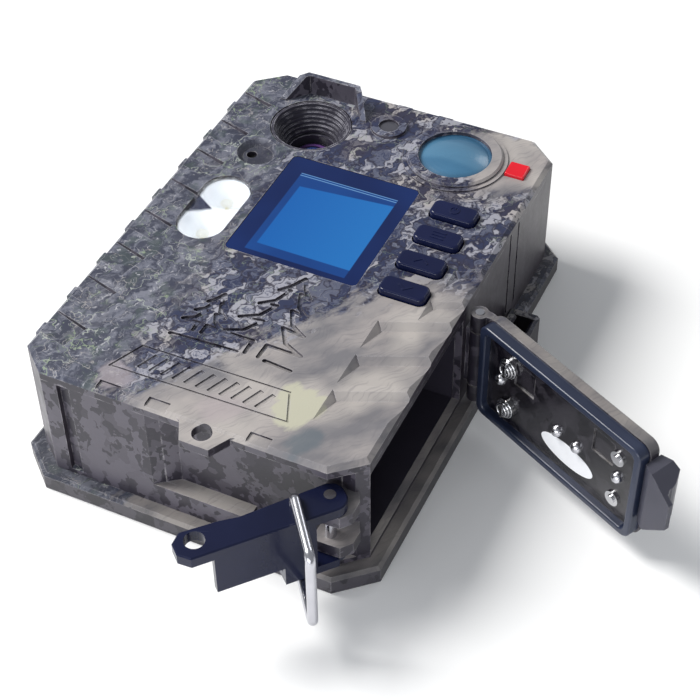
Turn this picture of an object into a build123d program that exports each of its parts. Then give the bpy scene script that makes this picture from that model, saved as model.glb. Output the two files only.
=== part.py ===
"""Trail camera: a weatherproof housing that lies on its back, with its battery door and its latch open.

Frame: origin at the mouth of the tripod socket in the rear face, +X to the right as the front is faced,
+Y towards the lens end, +Z out of the front face. The rear face is z = 0. Millimetres.

The door, the latch lever and the wire bail are drawn shut, where they have to fit the housing, and are
then turned about their pins to the stored, open position.
"""

import os
from math import atan2, cos, degrees, hypot, radians, sin

from build123d import *

# ---- driving dimensions ------------------------------------------------------------------------------

BODY_W = 96.0  # housing, across
BODY_H = 138.6  # housing, along
BODY_D = 42.0  # rear face to front face
CORNER_X = 8.0  # cut corner, across
CORNER_Y = 7.0  # cut corner, along
WALL = 2.2
FACE_T = 3.3  # front face thickness
EDGE = 1.2  # bevel round the front face
FLUTES = 8  # along the left edge
FLUTE_TOP_Y = 51.0
FLUTE_PITCH = 14.9
PAD_OUT = 1.1
PAD_LOW_Z = 36.0
POCKET_AT = (31.7, -19.7)  # first of the bevelled pockets at the right edge
POCKET_PITCH = 13.5
POCKET_SLOPE = 0.44
FLANGE_OUT = 3.8  # how far the rear flange stands out of the walls
FLANGE_T = 5.4
REAR_T = 2.6

SHELL_GAP = 0.3  # between pieces that only lie beside each other
MOVE_GAP = 0.4  # between pieces that move past each other
PIN_GAP = 0.05  # radial, round a hinge pin

CELL_D = 14.5  # AA cell
CELL_L = 50.5
CELLS_ACROSS = 4
CELL_ROWS = 2
ROW_PITCH = 15.0
BAY_TOP_Y = -4.0  # edge of the battery bay nearest the hinge
BAY_ROOF_GAP = 1.9  # roof of the bay, under the inside of the front face
BAY_SLACK = 0.2
BOX_WALL = 0.8

TRIPOD_R = 3.175  # 1/4-20 UNC, major radius
TRIPOD_DEPTH = 5.0
BOSS_R = 7.0

STRAP_Y = 23.0  # strap lugs at the rear edge
STRAP_LEN = 16.0
STRAP_OUT = 6.2
STRAP_SLOT_W = 4.4
STRAP_T = 12.0

LENS_AT = (-21.8, 48.7)
HOOD_R = 11.7
HOOD_STEPS = 7
HOOD_DEPTH = 8.2
HOOD_INNER_R = 7.5
LENS_R = 6.8
BARREL_WALL = 1.2
VISOR_H = 6.4
VISOR_T = 1.5

PIR_AT = (22.3, 51.6)
PIR_RING_R = 15.1
PIR_LENS_R = 11.1
PIR_RISE = 1.6
PIR_DOME = 2.4

SCREEN_AT = (-0.4, 12.7)
SCREEN_W = 39.0
SCREEN_H = 43.1
SCREEN_R = 1.6
SCREEN_T = 1.5
DISPLAY_AT = (-0.4, 14.6)
DISPLAY_W = 34.0
DISPLAY_H = 34.0

LAMP_AT = (-30.2, 4.7)
LAMP_R = 6.4
LAMP_PITCH = 14.2
LAMP_DEPTH = 7.0

KEY_X = 31.8
KEY_TOP_Y = 28.3
KEY_PITCH = 11.3
KEY_W = 13.2
KEY_H = 6.4
KEY_R = 1.9
KEY_OUT = 1.9
KEY_TRAVEL = 0.8
KEY_FLANGE_T = 0.8
KEY_MAT_T = 0.6
SWITCH_UP = 4.0  # switch centre above its button centre, clear of the battery bay

SENSOR_AT = (-0.7, 56.9)  # day and night sensor
SENSOR_R = 5.2
SENSOR_BORE = 2.9
MIC_AT = (-30.4, 31.4)
MIC_R = 6.0
MIC_HOLE_X = -2.0  # hole from the dish's middle
MIC_HOLE_R = 1.5
STATUS_AT = (40.6, 53.2)
STATUS_W = 6.0

HINGE_AT = (BODY_W / 2 + 3.3, -0.8)
HINGE_PIN_R = 1.2
KNUCKLE_R = 2.4
KNUCKLE_LEN = 5.6
DOOR_LOW_Z = 6.1
DOOR_TOP_Z = BODY_D - 2.7
DOOR_NEAR_Y = -3.7
DOOR_FAR_Y = -BODY_H / 2 + 6.1
DOOR_OUT_X = BODY_W / 2 + 7.2
DOOR_SKIN = 3.6
DOOR_R = 3.4
GASKET_W = 2.2
GASKET_H = 3.3
PANEL_T = 1.2
DOOR_OPEN = 63.0  # degrees from shut to the stored position

LEVER_AT = (BODY_W / 2 - 6.7, -BODY_H / 2 - 1.3)
LEVER_LEN = 34.1  # pin to padlock hole
LEVER_IN = 3.8  # arm, from the pin line towards the housing
LEVER_OUT = 5.0  # arm, from the pin line outwards
LEVER_TOP_Z = BODY_D - 6.6
ARM_T = 3.2
LEVER_LOW_Z = 13.8
LOW_ARM_T = 2.6
LOW_ARM_LEN = 14.0
WEB_T = 2.0
WEB_FROM = 5.6
WEB_TO = 31.2
WEB_LOW_Z = 20.0
RIVET_R = 1.5
PADLOCK_R = 2.6
LUG_T = 3.8
LEVER_OPEN = 48.5

WIRE_R = 1.3
BAIL_PIVOT = (-8.4, 1.6)  # from the lever's pin, lever shut
BAR_AT = (BODY_W / 2 + 3.8, -BODY_H / 2 - 2.7)  # bail bar in its hook, latch shut
BAIL_REST = -52.6  # the way the open bail points, in degrees from +X
BEND_R = 2.2

TONGUE_LOW_Z = 14.4
TONGUE_TOP_Z = BODY_D - 6.8
TONGUE_CUT = 4.5

RECESS_DEPTH = 4.6  # latch recess in the lower wall
RECESS_X = -4.0
LEDGE_X = 18.0
LEDGE_Z = 12.8
POCKET_Z = 7.0
RECESS_WALL = 1.5

TAB_HALF = 9.0  # padlock tab on the lower lip
TAB_END = 4.0
TAB_OUT = 5.6
TAB_T = 2.6

JACK_AT = (-19.5, 13.5)  # external power socket, along and up the left wall
JACK_R = 3.4
SCREW_R = 1.45
SCREW_HEAD_R = 2.7

# ---- worked out --------------------------------------------------------------------------------------

HALF_W = BODY_W / 2
HALF_H = BODY_H / 2
INNER_Z = BODY_D - FACE_T
BAY_W = CELLS_ACROSS * CELL_D + BAY_SLACK
BAY_LOW_Y = BAY_TOP_Y - BAY_W
BAY_H = (CELL_ROWS - 1) * ROW_PITCH + CELL_D + 2 * BAY_SLACK
BAY_TOP_Z = INNER_Z - BAY_ROOF_GAP
BAY_FLOOR_Z = BAY_TOP_Z - BAY_H
BAY_DEEP_X = HALF_W - CELL_L - 1.6
RECESS_Y = -HALF_H + RECESS_DEPTH
DOOR_SKIN_X = DOOR_OUT_X - DOOR_SKIN
GASKET_X = DOOR_SKIN_X - GASKET_H
PANEL_X = DOOR_SKIN_X - PANEL_T
BAIL_AT = (LEVER_AT[0] + BAIL_PIVOT[0], LEVER_AT[1] + BAIL_PIVOT[1])
BAIL_LEN = hypot(BAR_AT[0] - BAIL_AT[0], BAR_AT[1] - BAIL_AT[1])
BAIL_SHUT = degrees(atan2(BAR_AT[1] - BAIL_AT[1], BAR_AT[0] - BAIL_AT[0]))
KEY_MAT_LOW_Z = BAY_TOP_Z + BOX_WALL + 0.25
KEY_FLANGE_Z = KEY_MAT_LOW_Z + KEY_MAT_T + KEY_TRAVEL + 0.05
BAIL_TOP_Z = LEVER_TOP_Z + MOVE_GAP + WIRE_R
BAIL_LOW_Z = LEVER_LOW_Z - MOVE_GAP - WIRE_R
CELL_YS = [BAY_TOP_Y - BAY_SLACK / 2 - CELL_D * (i + 0.5) for i in range(CELLS_ACROSS)]
ROW_ZS = [BAY_FLOOR_Z + BAY_SLACK + CELL_D / 2 + ROW_PITCH * i for i in range(CELL_ROWS)]
KEY_YS = [KEY_TOP_Y - KEY_PITCH * i for i in range(4)]
LAMP_YS = [LAMP_AT[1] + LAMP_PITCH * (0.5 - i) for i in range(2)]
UPPER_LUG_Z = LEVER_TOP_Z - ARM_T - MOVE_GAP - LUG_T
LOWER_LUG_Z = LEVER_LOW_Z + LOW_ARM_T + MOVE_GAP

PARTS = {}

# ---- shapes used throughout --------------------------------------------------------------------------


def box(x0, x1, y0, y1, z0, z1):
    """A block between two corners."""
    return Pos((x0 + x1) / 2, (y0 + y1) / 2, (z0 + z1) / 2) * Box(x1 - x0, y1 - y0, z1 - z0)


def disc(at, r, z0, z1):
    """A round block along Z."""
    return Pos(at[0], at[1], (z0 + z1) / 2) * Cylinder(r, z1 - z0)


def ring(at, outer, inner, z0, z1):
    """A round wall along Z."""
    return disc(at, outer, z0, z1) - disc(at, inner, z0 - 1, z1 + 1)


def cone(at, r0, r1, z0, z1):
    """A tapered block along Z."""
    return Pos(at[0], at[1], (z0 + z1) / 2) * Cone(r0, r1, z1 - z0)


def rod_x(y, z, r, x0, x1):
    """A round block along X."""
    return Pos((x0 + x1) / 2, y, z) * Rot(0, 90, 0) * Cylinder(r, x1 - x0)


def prism(points, z0, z1):
    """An outline in plan, raised from z0 to z1."""
    face = make_face(Polyline(*points, close=True))
    return extrude(Pos(0, 0, z0) * face, amount=z1 - z0)


def rounded(at, w, h, r, z0, z1):
    """A rounded rectangle, raised from z0 to z1."""
    return extrude(Pos(at[0], at[1], z0) * RectangleRounded(w, h, r), amount=z1 - z0)


def slot(at, r, pitch, z0, z1):
    """Two round ends joined by straight sides, long along Y."""
    ends = [disc((at[0], at[1] + s * pitch / 2), r, z0, z1) for s in (1, -1)]
    return ends[0] + ends[1] + box(at[0] - r, at[0] + r, at[1] - pitch / 2, at[1] + pitch / 2, z0, z1)


def cut_corners(inset):
    """The housing's outline in plan, moved inwards by inset."""
    x = HALF_W - inset
    y = HALF_H - inset
    cx = CORNER_X - 0.45 * inset
    cy = CORNER_Y - 0.45 * inset
    return [
        (x - cx, y),
        (x, y - cy),
        (x, -y + cy),
        (x - cx, -y),
        (-x + cx, -y),
        (-x, -y + cy),
        (-x, y - cy),
        (-x + cx, y),
    ]


def stroke(a, b, width, z0, z1):
    """A straight bar in plan from a to b."""
    length = hypot(b[0] - a[0], b[1] - a[1])
    turn = degrees(atan2(b[1] - a[1], b[0] - a[0]))
    middle = Pos((a[0] + b[0]) / 2, (a[1] + b[1]) / 2, (z0 + z1) / 2)
    return middle * Rot(0, 0, turn) * Box(length + width, width, z1 - z0)


def about(at, angle):
    """A turn about an axis along Z at a point in plan."""
    return Pos(at[0], at[1], 0) * Rot(0, 0, angle) * Pos(-at[0], -at[1], 0)


def turned(point, at, angle):
    """Where a point in plan goes in that turn."""
    x = point[0] - at[0]
    y = point[1] - at[1]
    c = cos(radians(angle))
    s = sin(radians(angle))
    return (at[0] + c * x - s * y, at[1] + s * x + c * y)


def joined(pieces):
    """Several shapes as one."""
    whole = pieces[0]
    for piece in pieces[1:]:
        whole = whole + piece
    return whole


def group(pieces):
    """Separate solids that share one node."""
    return Compound(children=[solid for piece in pieces for solid in piece.solids()])


# ---- housing -----------------------------------------------------------------------------------------

SCREW_SPOTS = [(sx * (HALF_W - 7.0), y) for sx in (1, -1) for y in (HALF_H - 11.5, 36.4)]
SCREW_SPOTS += [(-HALF_W + 7.0, -HALF_H + 11.5), (-9.4, -HALF_H + 10.5)]


def sloped_pocket(x, y, run, rise, drop, depth):
    """A pocket that opens to the right wall, deepest along its upper edge, with bevelled upper and left walls."""
    tilt = degrees(atan2(depth, drop))
    angle = degrees(atan2(rise, run))
    plan = [(x, y), (x + run, y + rise), (x + run, y + rise - drop), (x, y - drop)]
    bed = Pos(x, y - drop, BODY_D) * Rot(0, 0, angle) * Rot(-tilt, 0, 0) * Pos(0, 0, 15) * Box(90, 90, 30)
    pocket = prism(plan, BODY_D - 3, BODY_D + 1) & bed
    upper = [(x, y), (x + run, y + rise), (x + run, y + rise + depth), (x - depth, y + depth)]
    slope = Pos(x, y + depth, BODY_D) * Rot(0, 0, angle) * Rot(45, 0, 0) * Pos(0, 0, 15) * Box(90, 90, 30)
    pocket = pocket + (prism(upper, BODY_D - 3, BODY_D + 1) & slope)
    side = [(x + 0.01, y), (x - depth, y + depth), (x - depth, y - drop), (x + 0.01, y - drop)]
    slope = Pos(x - depth, y, BODY_D) * Rot(0, 45, 0) * Pos(0, 0, 15) * Box(90, 90, 30)
    end = Pos(x, y - drop, BODY_D) * Rot(-tilt, 0, 0) * Pos(0, 0, 15) * Box(90, 90, 30)
    return pocket + (prism(side, BODY_D - 3, BODY_D + 1) & slope & end)


def edge_flutes():
    """Slanted shallow flutes along the left, right and lower edges of the front face."""
    depth = 0.8
    cuts = []
    for i in range(FLUTES):
        at = Pos(-HALF_W + 2.0, FLUTE_TOP_Y - FLUTE_PITCH * i, BODY_D)
        cuts.append(at * Rot(0, 4, -15) * Box(17, 8.2, 2 * depth))
    for i in range(3):
        y = POCKET_AT[1] - POCKET_PITCH * i
        cuts.append(sloped_pocket(POCKET_AT[0], y, 22, 22 * POCKET_SLOPE, 9.4, 1.9))
    for x, y in ((42.0, 6.5), (40.6, -7.0)):
        cuts.append(sloped_pocket(x, y, 12, 12 * POCKET_SLOPE, 6.8, 1.5))
    for x in (-21.0, -7.0, 21.0):
        cuts.append(box(x - 3, x + 3, -HALF_H - 1, -HALF_H + 3.6, BODY_D - 0.6, BODY_D + 1))
    return joined(cuts)


def edge_pads():
    """Small lugs that stand out of the left and upper walls just under the front edge."""
    pads = []
    for i in range(FLUTES):
        y = FLUTE_TOP_Y - 1.6 - FLUTE_PITCH * i
        if abs(y) < HALF_H - CORNER_Y - 3:
            pads.append(box(-HALF_W - PAD_OUT, -HALF_W + 0.5, y - 2.4, y + 2.4, PAD_LOW_Z, BODY_D - EDGE))
    for x in (-1.0, 12.0):
        pads.append(box(x - 2.6, x + 2.6, HALF_H - 0.5, HALF_H + PAD_OUT, PAD_LOW_Z, BODY_D - EDGE))
    return [chamfer(pad.edges().filter_by(Axis.Z) + pad.edges().group_by(Axis.Z)[-1], 0.5) for pad in pads]


def groove(path, width, depth):
    """A round-ended groove in the front face along a path."""
    bars = []
    for a, b in zip(path, path[1:]):
        length = hypot(b[0] - a[0], b[1] - a[1])
        turn = degrees(atan2(b[1] - a[1], b[0] - a[0]))
        at = Pos((a[0] + b[0]) / 2, (a[1] + b[1]) / 2, BODY_D - depth) * Rot(0, 0, turn)
        bars.append(extrude(at * SlotCenterToCenter(length, width), amount=depth + 1))
    return joined(bars)


def conifer(cx, top, tiers, size):
    """The outline of a plain conifer with drooping branches, as two paths."""
    right = [(cx, top)]
    for tier in range(tiers):
        reach = size * (4.4 + 2.4 * tier)
        inner = size * (0.9 + 0.7 * tier)
        low = top - size * 6.6 * (tier + 1)
        right.append((cx + inner + 0.35 * (reach - inner), low + size * 2.6))
        right.append((cx + reach, low))
        right.append((cx + inner + 0.6 * size, low + size * 0.9))
    right[-1] = (cx + 2.0 * size, right[-1][1] - 0.8 * size)
    right.append((cx + 1.9 * size, right[-1][1] - 4.6 * size))
    return right, [(2 * cx - x, y) for x, y in right]


def tree_motif():
    """A tall plain conifer and a small one on a line of ground, in engraved outline."""
    tall = conifer(6.0, -11.5, 4, 1.0)
    small = conifer(-10.5, -25.5, 3, 0.62)
    ground = [[(-16.5, -44.0), (-6.0, -43.4), (2.0, -43.0)], [(10.0, -43.0), (17.5, -43.6)]]
    return joined([groove(path, 1.25, 0.8) for path in (*tall, *small, *ground)])


def name_plate():
    """An engraved trapezoid frame with a row of slanted bars in it."""
    corners = [(-20.5, -51.0), (20.7, -50.2), (24.6, -59.3), (-24.6, -60.4)]
    lines = [(corners[i], corners[(i + 1) % 4]) for i in range(4)]
    frame = [stroke(a, b, 0.6, BODY_D - 0.4, BODY_D + 1) for a, b in lines]
    bars = []
    for i in range(11):
        x = -16.5 + 3.3 * i
        bars.append(stroke((x - 0.9, -57.6), (x + 0.9, -53.2), 1.3, BODY_D - 0.4, BODY_D + 1))
    return joined(frame + bars)


def lens_visor():
    """Three thin walls round the upper side of the lens bore, sloping down to the face at both feet."""
    x, y = LENS_AT
    inside = [(x - 12.2, y + 7.8), (x - 7.0, y + 14.0), (x + 7.6, y + 14.0), (x + 12.2, y + 7.8)]
    outside = [(x - 14.0, y + 7.8), (x - 8.0, y + 14.0 + VISOR_T), (x + 8.6, y + 14.0 + VISOR_T)]
    outside.append((x + 14.0, y + 7.8))
    wall = prism(outside + inside[::-1], BODY_D, BODY_D + VISOR_H)
    rise = degrees(atan2(VISOR_H, 5.6))
    over = Pos(x, y + 7.8, BODY_D + 0.4) * Rot(rise, 0, 0) * Pos(0, 0, 10) * Box(60, 60, 20)
    return wall - over


def latch_recess():
    """The hollow in the lower wall that the shut lever lies in."""
    low = -HALF_H - 10
    shelf = [(RECESS_X - 6, low), (RECESS_X - 6, -HALF_H), (RECESS_X, RECESS_Y), (LEDGE_X, RECESS_Y), (LEDGE_X, low)]
    deep = box(LEDGE_X - 0.5, HALF_W + 10, low, RECESS_Y, POCKET_Z, INNER_Z)
    return prism(shelf, LEDGE_Z, INNER_Z) + deep


def liner_block():
    """The block that the inner walls of the latch recess are cut from."""
    t = RECESS_WALL
    outline = [(RECESS_X - 9, -HALF_H + 0.5), (RECESS_X - 1, RECESS_Y + t), (HALF_W - 2, RECESS_Y + t)]
    outline += [(HALF_W - CORNER_X - 0.5, -HALF_H + 0.5)]
    return prism(outline, FLANGE_T + 0.6, INNER_Z)


def latch_lugs():
    """Two ears at the lower right corner that hold the lever's rivet."""
    x, y = LEVER_AT
    plan = [(x - 3.6, RECESS_Y + 0.5), (x + 4.6, RECESS_Y + 0.5), (x + 6.2, y + 3.6), (x + 6.2, y - 0.4)]
    plan += [(x + 3.9, y - 3.2), (x - 2.1, y - 3.4), (x - 3.7, y - 0.9)]
    ears = [prism(plan, z, z + LUG_T) for z in (UPPER_LUG_Z, LOWER_LUG_Z)]
    return ears[0] + ears[1] - disc(LEVER_AT, RIVET_R, 0, BODY_D)


def padlock_tab():
    """The tab on the lower lip that a padlock passes through with the lever."""
    x = LEVER_AT[0] - LEVER_LEN
    y = -HALF_H
    plan = [(x - TAB_HALF, y + 1), (x - TAB_HALF + 2, y), (x - TAB_END, y - TAB_OUT), (x + TAB_END, y - TAB_OUT)]
    plan += [(x + TAB_HALF - 2, y), (x + TAB_HALF, y + 1)]
    top = BODY_D - 0.6
    return prism(plan, top - TAB_T, top)


def hinge_bracket():
    """The housing's middle knuckle, on a web that stands on the right wall."""
    x, y = HINGE_AT
    low = DOOR_LOW_Z + 1.0 + KNUCKLE_LEN + MOVE_GAP
    high = DOOR_TOP_Z - 0.8 - KNUCKLE_LEN - MOVE_GAP
    web = box(HALF_W - 0.5, x, y - 0.6, y + KNUCKLE_R, low, high)
    return disc(HINGE_AT, KNUCKLE_R, low, high) + web - disc(HINGE_AT, HINGE_PIN_R, 0, BODY_D)


def face_cuts():
    """Every hole in the front face."""
    through = (INNER_Z - 1, BODY_D + 10)
    cuts = [
        disc(LENS_AT, HOOD_R + SHELL_GAP, *through),
        disc(PIR_AT, PIR_LENS_R + 1.6, *through),
        rounded(SCREEN_AT, SCREEN_W + 0.2, SCREEN_H + 0.2, SCREEN_R, BODY_D - SCREEN_T - 0.2, BODY_D + 10),
        rounded(DISPLAY_AT, DISPLAY_W, DISPLAY_H, SCREEN_R, *through),
        slot(LAMP_AT, LAMP_R + 0.6, LAMP_PITCH, *through),
        disc(SENSOR_AT, SENSOR_BORE, *through),
        disc((MIC_AT[0] + MIC_HOLE_X, MIC_AT[1]), MIC_HOLE_R, *through),
        cone(MIC_AT, MIC_R - 1.6, MIC_R, BODY_D - 1.8, BODY_D + 0.01),
        box(STATUS_AT[0] - STATUS_W / 2, STATUS_AT[0] + STATUS_W / 2, STATUS_AT[1] - STATUS_W / 2,
            STATUS_AT[1] + STATUS_W / 2, BODY_D - 1.4, BODY_D + 5),
    ]
    for y in KEY_YS:
        cuts.append(rounded((KEY_X, y), KEY_W + 2 * MOVE_GAP, KEY_H + 2 * MOVE_GAP, KEY_R + MOVE_GAP, *through))
    well_y = (KEY_YS[0] + KEY_YS[-1]) / 2
    well_h = KEY_YS[0] - KEY_YS[-1] + KEY_H + 4.8
    cuts.append(rounded((KEY_X, well_y), KEY_W + 4.4, well_h, 2.0, INNER_Z - 1, KEY_FLANGE_Z + KEY_FLANGE_T + 0.1))
    return joined(cuts)


def side_grooves():
    """Two long grooves down the right wall and a wider one down the lower wall."""
    cuts = [box(HALF_W - 0.8, HALF_W + 1, y - 0.5, y + 0.5, 10, BODY_D - 2.5) for y in (36.0, 30.0)]
    cuts.append(box(-35.4, -31.8, -HALF_H - 1, -HALF_H + 1.5, FLANGE_T + 1.5, INNER_Z - 0.2))
    return joined(cuts)


def front_half():
    """Front half of the housing's outside: face, walls, padlock tab and hinge bracket."""
    outside = prism(cut_corners(0), FLANGE_T, BODY_D - EDGE)
    bevel = loft([Pos(0, 0, BODY_D - EDGE) * make_face(Polyline(*cut_corners(0), close=True)),
                  Pos(0, 0, BODY_D) * make_face(Polyline(*cut_corners(EDGE), close=True))])
    shell = outside + bevel - prism(cut_corners(WALL), FLANGE_T - 1, INNER_Z)
    shell = shell - latch_recess()
    shell = shell + ring(PIR_AT, PIR_RING_R, PIR_LENS_R + 1.6, BODY_D - 0.5, BODY_D + 0.5)
    shell = shell + ring(SENSOR_AT, SENSOR_R, SENSOR_BORE, BODY_D - 0.5, BODY_D + 0.9)
    shell = shell - edge_flutes() - tree_motif() - name_plate() - side_grooves()
    shell = joined([shell, padlock_tab(), hinge_bracket()] + edge_pads())
    shell = shell - face_cuts()
    shell = shell - disc((LEVER_AT[0] - LEVER_LEN, LEVER_AT[1]), PADLOCK_R, INNER_Z - 5, BODY_D + 1)
    shell = shell - box(HALF_W - WALL - 3, HALF_W + 1, BAY_LOW_Y, BAY_TOP_Y, BAY_FLOOR_Z, BAY_TOP_Z)
    return shell - rod_x(JACK_AT[0], JACK_AT[1], JACK_R, -HALF_W - 1, -HALF_W + WALL + 1)


def front_face():
    """The face plate: everything of the front half above the walls."""
    return front_half_whole & box(-90, 90, -90, 90, INNER_Z, BODY_D + 20)


def case_walls():
    """The walls and the hinge bracket, under the face plate."""
    return (front_half_whole & box(-90, 90, -90, 90, 0, INNER_Z)) - latch_lugs()


def latch_frame():
    """The inner walls of the latch recess, and the two ears for the lever's rivet."""
    inside = prism(cut_corners(WALL), 0, INNER_Z)
    return (liner_block() & inside) - latch_recess() + latch_lugs()


def screw_posts():
    """Six posts for the case screws, each on a rib that stands on the nearest wall."""
    inside = prism(cut_corners(WALL), FLANGE_T + 0.6, INNER_Z) - liner_block()
    posts = []
    for x, y in SCREW_SPOTS:
        wall_x = x + (7 if x > 0 else -7) if abs(x) > 20 else x
        wall_y = y if abs(x) > 20 else y - 10
        rib = stroke((x, y), (wall_x, wall_y), 1.2, FLANGE_T + 0.6, INNER_Z)
        post = (disc((x, y), SCREW_R + 1.7, FLANGE_T + 0.6, INNER_Z) + rib) & inside
        posts.append(post - disc((x, y), SCREW_R - 0.15, FLANGE_T - 1, FLANGE_T + 16))
    return group(posts)


def strap_lug(side):
    """A loop at the rear edge that a tree strap threads through."""
    inner = HALF_W + 0.8
    outer = HALF_W + FLANGE_OUT + STRAP_OUT
    low, high = STRAP_Y - STRAP_LEN / 2, STRAP_Y + STRAP_LEN / 2
    block = box(inner, outer, low, high, 0, STRAP_T)
    window = box(outer - 1.8 - STRAP_SLOT_W, outer - 1.8, low + 2, high - 2, -1, STRAP_T + 1)
    lug = chamfer((block - window).edges().filter_by(Axis.Y).group_by(Axis.Z)[-1], 0.8)
    return lug if side > 0 else mirror(lug, Plane.YZ)


def rear_shell():
    """Rear half of the housing: back plate, flange, seal groove, strap lugs and the socket's boss."""
    plate = prism(cut_corners(-FLANGE_OUT), 0, FLANGE_T)
    plate = chamfer(plate.edges().group_by(Axis.Z)[-1], 0.9)
    plate = plate - prism(cut_corners(WALL + 3.0), REAR_T, FLANGE_T + 1)
    groove = prism(cut_corners(0.3), FLANGE_T - 1.2, FLANGE_T + 1) - prism(cut_corners(1.9), 0, FLANGE_T + 2)
    plate = plate - groove + disc((0, 0), BOSS_R, 0, TRIPOD_DEPTH + 0.6)
    plate = plate + strap_lug(1) + strap_lug(-1)
    plate = plate - disc((0, 0), TRIPOD_R + 1.6, -1, TRIPOD_DEPTH)
    plate = plate - box(-30, -20, -14, 14, -1, 0.8) - box(20, 30, -14, 14, -1, 0.8)
    for spot in SCREW_SPOTS:
        plate = plate + disc(spot, SCREW_HEAD_R + 1.1, 0, FLANGE_T)
    for spot in SCREW_SPOTS:
        plate = plate - disc(spot, SCREW_R + 0.15, -1, FLANGE_T + 1)
        plate = plate - disc(spot, SCREW_HEAD_R + 0.15, -1, 2.6)
    return plate


def case_gasket():
    """The seal between the two halves."""
    outer = prism(cut_corners(0.4), FLANGE_T - 1.2, FLANGE_T)
    return outer - prism(cut_corners(1.8), 0, FLANGE_T + 2)


def case_screws():
    """Six pan-head screws put in from the rear."""
    screws = []
    for spot in SCREW_SPOTS:
        head = disc(spot, SCREW_HEAD_R, 0.8, 2.6) - Pos(spot[0], spot[1], 0.8) * Box(0.7, 3.4, 1.4)
        head = head - Pos(spot[0], spot[1], 0.8) * Box(3.4, 0.7, 1.4)
        screws.append(head + disc(spot, SCREW_R - 0.15, 2.6, FLANGE_T + 12))
    return group(screws)


def tripod_insert():
    """Brass insert with the 1/4-20 socket."""
    return ring((0, 0), TRIPOD_R + 1.6, TRIPOD_R, 0, TRIPOD_DEPTH)


# ---- optics and windows ------------------------------------------------------------------------------


def lens_hood():
    """A funnel of stepped rings that keeps stray light off the lens."""
    top = BODY_D - 0.2
    hood = disc(LENS_AT, HOOD_R, top - HOOD_DEPTH, top)
    step_z = HOOD_DEPTH / HOOD_STEPS
    step_r = (HOOD_R - 0.8 - HOOD_INNER_R) / (HOOD_STEPS - 1)
    for i in range(HOOD_STEPS):
        r = HOOD_R - 0.8 - step_r * i
        hood = hood - disc(LENS_AT, r, top - step_z * (i + 1) - 0.01, top + 1)
    return hood


HOOD_LOW_Z = BODY_D - 0.2 - HOOD_DEPTH


def lens_barrel():
    """The threaded barrel that carries the glass and focuses on the sensor."""
    x = ring(LENS_AT, LENS_R + BARREL_WALL, LENS_R, HOOD_LOW_Z - 9.0, HOOD_LOW_Z - 0.3)
    return x + ring(LENS_AT, LENS_R + BARREL_WALL, LENS_R - 1.4, HOOD_LOW_Z - 6.5, HOOD_LOW_Z - 4.5)


def lens_glass():
    """The front element, a shallow dome."""
    low = HOOD_LOW_Z - 4.5
    rise = 1.8
    radius = (LENS_R**2 + rise**2) / (2 * rise)
    ball = Pos(LENS_AT[0], LENS_AT[1], low + 1.2 + rise - radius) * Sphere(radius)
    return disc(LENS_AT, LENS_R - 0.02, low, low + 1.2 + rise) & (ball + disc(LENS_AT, LENS_R, low, low + 1.2))


def sensor_board():
    """The image sensor on its small board behind the barrel."""
    x, y = LENS_AT
    low = HOOD_LOW_Z - 9.3 - 1.6
    board = rounded(LENS_AT, 22, 20, 1.0, low, low + 1.2)
    return board + box(x - 3.6, x + 3.6, y - 2.8, y + 2.8, low + 1.2, low + 1.9)


def pir_bezel():
    """The ring that clamps the motion lens."""
    low, high = BODY_D + 0.5, BODY_D + PIR_RISE
    bezel = ring(PIR_AT, PIR_RING_R - 1.3, PIR_LENS_R - 0.6, low, high)
    return chamfer(bezel.edges().filter_by(GeomType.CIRCLE).group_by(Axis.Z)[-1].sort_by(SortBy.RADIUS)[-1], 0.6)


def pir_lens():
    """The motion sensor's window: a thin shallow dome under the bezel."""
    low = BODY_D - 1.2
    radius = (PIR_LENS_R**2 + PIR_DOME**2) / (2 * PIR_DOME)
    centre = low + 1.0 + PIR_DOME - radius
    x, y = PIR_AT
    dome = (Pos(x, y, centre) * Sphere(radius)) - (Pos(x, y, centre) * Sphere(radius - 0.8))
    dome = dome & disc(PIR_AT, PIR_LENS_R - 0.7, low, low + 8)
    return dome + ring(PIR_AT, PIR_LENS_R + 1.4, PIR_LENS_R - 1.6, low, BODY_D + 0.4)


def pir_sensor():
    """The heat sensor in its can, on the main board."""
    return disc(PIR_AT, 4.1, BOARD_TOP_Z, BOARD_TOP_Z + 4.2) + disc(PIR_AT, 4.7, BOARD_TOP_Z, BOARD_TOP_Z + 0.5)


def screen_window():
    """The clear cover over the display."""
    low = BODY_D - SCREEN_T - 0.15
    return rounded(SCREEN_AT, SCREEN_W, SCREEN_H, SCREEN_R, low, low + SCREEN_T)


def display_module():
    """The display itself, under its cover."""
    high = BODY_D - SCREEN_T - 1.2
    return rounded(DISPLAY_AT, DISPLAY_W - 1.0, DISPLAY_H - 1.0, 0.8, high - 3.4, high)


def lamp_reflector():
    """Two bowls in one moulding, one for each lamp."""
    top = BODY_D - 1.3
    body = slot(LAMP_AT, LAMP_R + 0.3, LAMP_PITCH, top - LAMP_DEPTH, top)
    for y in LAMP_YS:
        body = body - cone((LAMP_AT[0], y), 1.9, LAMP_R, top - LAMP_DEPTH - 0.01, top + 0.01)
    return body


def lamp_chips():
    """Two light-emitting chips at the bottoms of the bowls."""
    low = BODY_D - 1.3 - LAMP_DEPTH
    chips = []
    for y in LAMP_YS:
        chips.append(box(LAMP_AT[0] - 1.2, LAMP_AT[0] + 1.2, y - 1.2, y + 1.2, low + 0.2, low + 1.0))
    base = box(LAMP_AT[0] - 5, LAMP_AT[0] + 5, LAMP_YS[1] - 5, LAMP_YS[0] + 5, low - 1.2, low - 0.05)
    risers = [disc((LAMP_AT[0], y), 1.4, low - 0.5, low + 0.3) for y in LAMP_YS]
    return joined([base] + risers + chips)


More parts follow.
